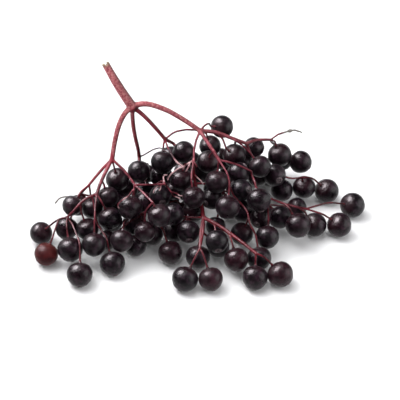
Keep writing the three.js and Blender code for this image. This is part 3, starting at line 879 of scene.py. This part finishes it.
def markGirth(made):
    # how thick the wood is at each point, in millimetres, evened out along the stem
    shape = bmesh.new()
    shape.from_mesh(made.data)
    tree = BVHTree.FromBMesh(shape)
    start = girthProbe["start"]
    girth = []
    for point in shape.verts:
        inward = -point.normal
        depth = tree.ray_cast(point.co + inward * start, inward, girthProbe["farthest"])[3]
        girth.append(min(depth + start, girthProbe["thickest"]) if depth else girthProbe["ifMissed"])
    for _ in range(girthProbe["rounds"]):
        girth = [
            (girth[point.index] + sum(girth[edge.other_vert(point).index] for edge in point.link_edges))
            / (1 + len(point.link_edges))
            for point in shape.verts
        ]
    shape.free()
    addMark(made, "girth", girth)


def thickenBareEnds(made):
    for place, reach, swell in smoothing["knots"]:
        middle = Vector(place)
        near = [(point, point.normal.copy(), (point.co - middle).length) for point in made.data.vertices
                if (point.co - middle).length < reach]
        for point, outward, away in near:
            point.co += outward * swell * (1 - away / reach)


markFade = 0.4  # the share of its reach over which a mark fades out
woodMarks = {  # reach, and the runs of places that it follows
    "crimsonWood": (1.7, (
        ((-15.7, 10, 26.5), (-15, 11.7, 12.8)),
        ((-14, 9.2, 29), (-8.5, 11.2, 19.8), (-6.4, 12.7, 17.3)),
        ((-1.5, 3.5, 18.5), (-1.4, 4.2, 13), (0.9, -5.6, 9.2), (13, -16.3, 7.4)),
        ((0.9, -5.6, 9.2), (0, -15, 8)),
        ((-21, 4.2, 19.1), (-24.6, 2.2, 15.9), (-26.5, 0.7, 14.1), (-28.4, -0.4, 13)),
        ((-21, 4.2, 19.1), (-21, -2, 10)),
        ((-15, 8.2, 30.2), (-13.8, 8.9, 29.2)),
    )),
    "cutRim": (2.2, (
        ((-22.4, 11.5, 42.9), (-22.3, 11.4, 42.7)),
    )),
    "dryWood": (2.4, (
        ((22.5, 19.8, 15.8), (25.7, 20.5, 14.8)),
        ((-32.5, 1.6, 9.7), (-35.2, 1.2, 7.8)),
    )),
    "dullWood": (0.8, (
        ((-15, 11.5, 13.5), (-13.6, 12.2, 14.3), (-12.3, 12.1, 15.5), (-11, 11.7, 16.4),
         (-9.8, 10.6, 17.6), (-8.1, 7.6, 18.7)),
        ((-7.4, 7.8, 18.6), (-6.6, 6.8, 18)),
    )),
    "paleWood": (0.75, (
        ((-17.5, -6, 15.6), (-19, -7, 13.4)),
        ((-5.9, 5.8, 17.2), (-5, 4.5, 17.1), (-3.9, 2.9, 17.8), (-5, 2.9, 17.4),
         (-6.1, 2.3, 17), (-7, 1.8, 16.4), (-7.7, 1.2, 15)),
        ((-2.4, 2.9, 19.3), (-3.4, 1.1, 17.8)),
        ((-8.6, 0.7, 15.4), (-8.8, 1.7, 15.9), (-7.8, 1.5, 16.4)),
        ((-0.5, 1.8, 15.2), (0.4, 0.4, 15.3), (0.8, 0.1, 14.5)),
        ((-10.6, -0.5, 13.9), (-11.1, -1.6, 13.4)),
        ((-9.3, -0.7, 14.2), (-9.7, -1.4, 14)),
        ((-5.3, -1.3, 11.9), (-4.7, -2.1, 11.8)),
        ((-4.8, -1.5, 12.4), (-4.2, -2.3, 13.1)),
    )),
}


def wayTo(co, first, last):
    # how far a point is from the straight line between two others
    along = last - first
    share = max(0, min(1, (co - first).dot(along) / along.length_squared))
    return (co - first - along * share).length


def markWood(made):
    for name, (reach, runs) in woodMarks.items():
        values = []
        pairs = [(Vector(first), Vector(last)) for run in runs for first, last in zip(run, run[1:])]
        for point in made.data.vertices:
            near = min(wayTo(point.co, first, last) for first, last in pairs)
            values.append(max(0, min(1, (reach - near) / (markFade * reach))))
        addMark(made, name, values)


def cleanCopy(node, name):
    made = copyOf(node, name)
    made.data.materials.clear()
    made.data.materials.append(skins["stem"])
    settleScale(made, 1 / mm)
    bpy.ops.object.mode_set(mode="EDIT")
    bpy.ops.mesh.select_mode(type="VERT")
    bpy.ops.mesh.select_all(action="SELECT")
    bpy.ops.mesh.remove_doubles(threshold=weldWithin)
    bpy.ops.object.mode_set(mode="OBJECT")
    return made


def finishWood(made):
    for face in made.data.polygons:
        face.use_smooth = True
    settleScale(made, mm)


def modelTwig(nodeName):
    # the sprig's CAD solid with its berries cut off and the holes closed
    twig = cleanCopy(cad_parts[nodeName], nodeName + "_twig")
    spots = berriesOf[nodeName]
    pickFaces(twig, lambda co: onBerry(co, spots))
    bpy.ops.mesh.delete(type="FACE")
    bpy.ops.mesh.select_all(action="SELECT")
    bpy.ops.mesh.fill_holes(sides=0)
    bpy.ops.mesh.normals_make_consistent(inside=False)
    bpy.ops.object.mode_set(mode="OBJECT")
    smoothWood(twig, smoothing["twigVoxel"])
    markGirth(twig)
    finishWood(twig)
    return twig


cutEnd = {
    "place": (-21.95, 11.22, 42),  # in millimetres, as are the lengths below
    "along": (-0.46, 0.28, 0.84),  # out of the cut
    "topWithin": 3,  # how far from the place the highest point is looked for
    "reach": 2.5,
    "depth": 0.3,
    "rim": 0.26,
    "hollow": 0.55,
    "notchAlong": (0, -0.77, 0.64),
    "notchDepth": 1.2,
    "notchWide": 0.28,
    "notchDeep": 0.45,
}


def modelCut(made):
    # a hollow in the pith of the cut end, and a notch across it
    out = Vector(cutEnd["along"]).normalized()
    place = Vector(cutEnd["place"])
    top = max((point.co - place).dot(out) for point in made.data.vertices
              if (point.co - place).length < cutEnd["topWithin"])

    def onCut(co, depth):
        away = co - place
        return away.length < cutEnd["reach"] and away.dot(out) > top - depth

    made.data.materials.append(skins["cut"])
    giveSkin(made, 1, lambda co: onCut(co, cutEnd["depth"]))
    bpy.ops.mesh.inset(thickness=cutEnd["rim"], depth=0)
    bpy.ops.transform.translate(value=-out * cutEnd["hollow"])
    across = out.cross(Vector(cutEnd["notchAlong"])).normalized()
    pickPoints(made, lambda co: onCut(co, cutEnd["notchDepth"])
               and abs((co - place).dot(across)) < cutEnd["notchWide"])
    bpy.ops.transform.translate(value=-out * cutEnd["notchDeep"])
    bpy.ops.object.mode_set(mode="OBJECT")


def modelStalk():
    made = cleanCopy(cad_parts["stalk"], "stalk_skin")
    smoothWood(made, smoothing["stalkVoxel"])
    markGirth(made)
    roundThickWood(made)
    thickenBareEnds(made)
    modelCut(made)
    markWood(made)
    finishWood(made)
    return made


fineStalk = modelStalk()
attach(fineStalk, "root")
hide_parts("stalk")
print("stalk:", len(fineStalk.data.polygons), "faces")

for nodeName, group in fineBerries.items():
    piece = group[0]
    if len(group) > 1:
        twig = modelTwig(nodeName)
        bpy.ops.object.select_all(action="DESELECT")
        for part in group + [twig]:
            part.select_set(True)
        bpy.context.view_layer.objects.active = piece
        bpy.ops.object.join()
        piece.name = nodeName + "_skin"
    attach(piece, "root")
    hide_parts(nodeName)
print("sprigs joined")
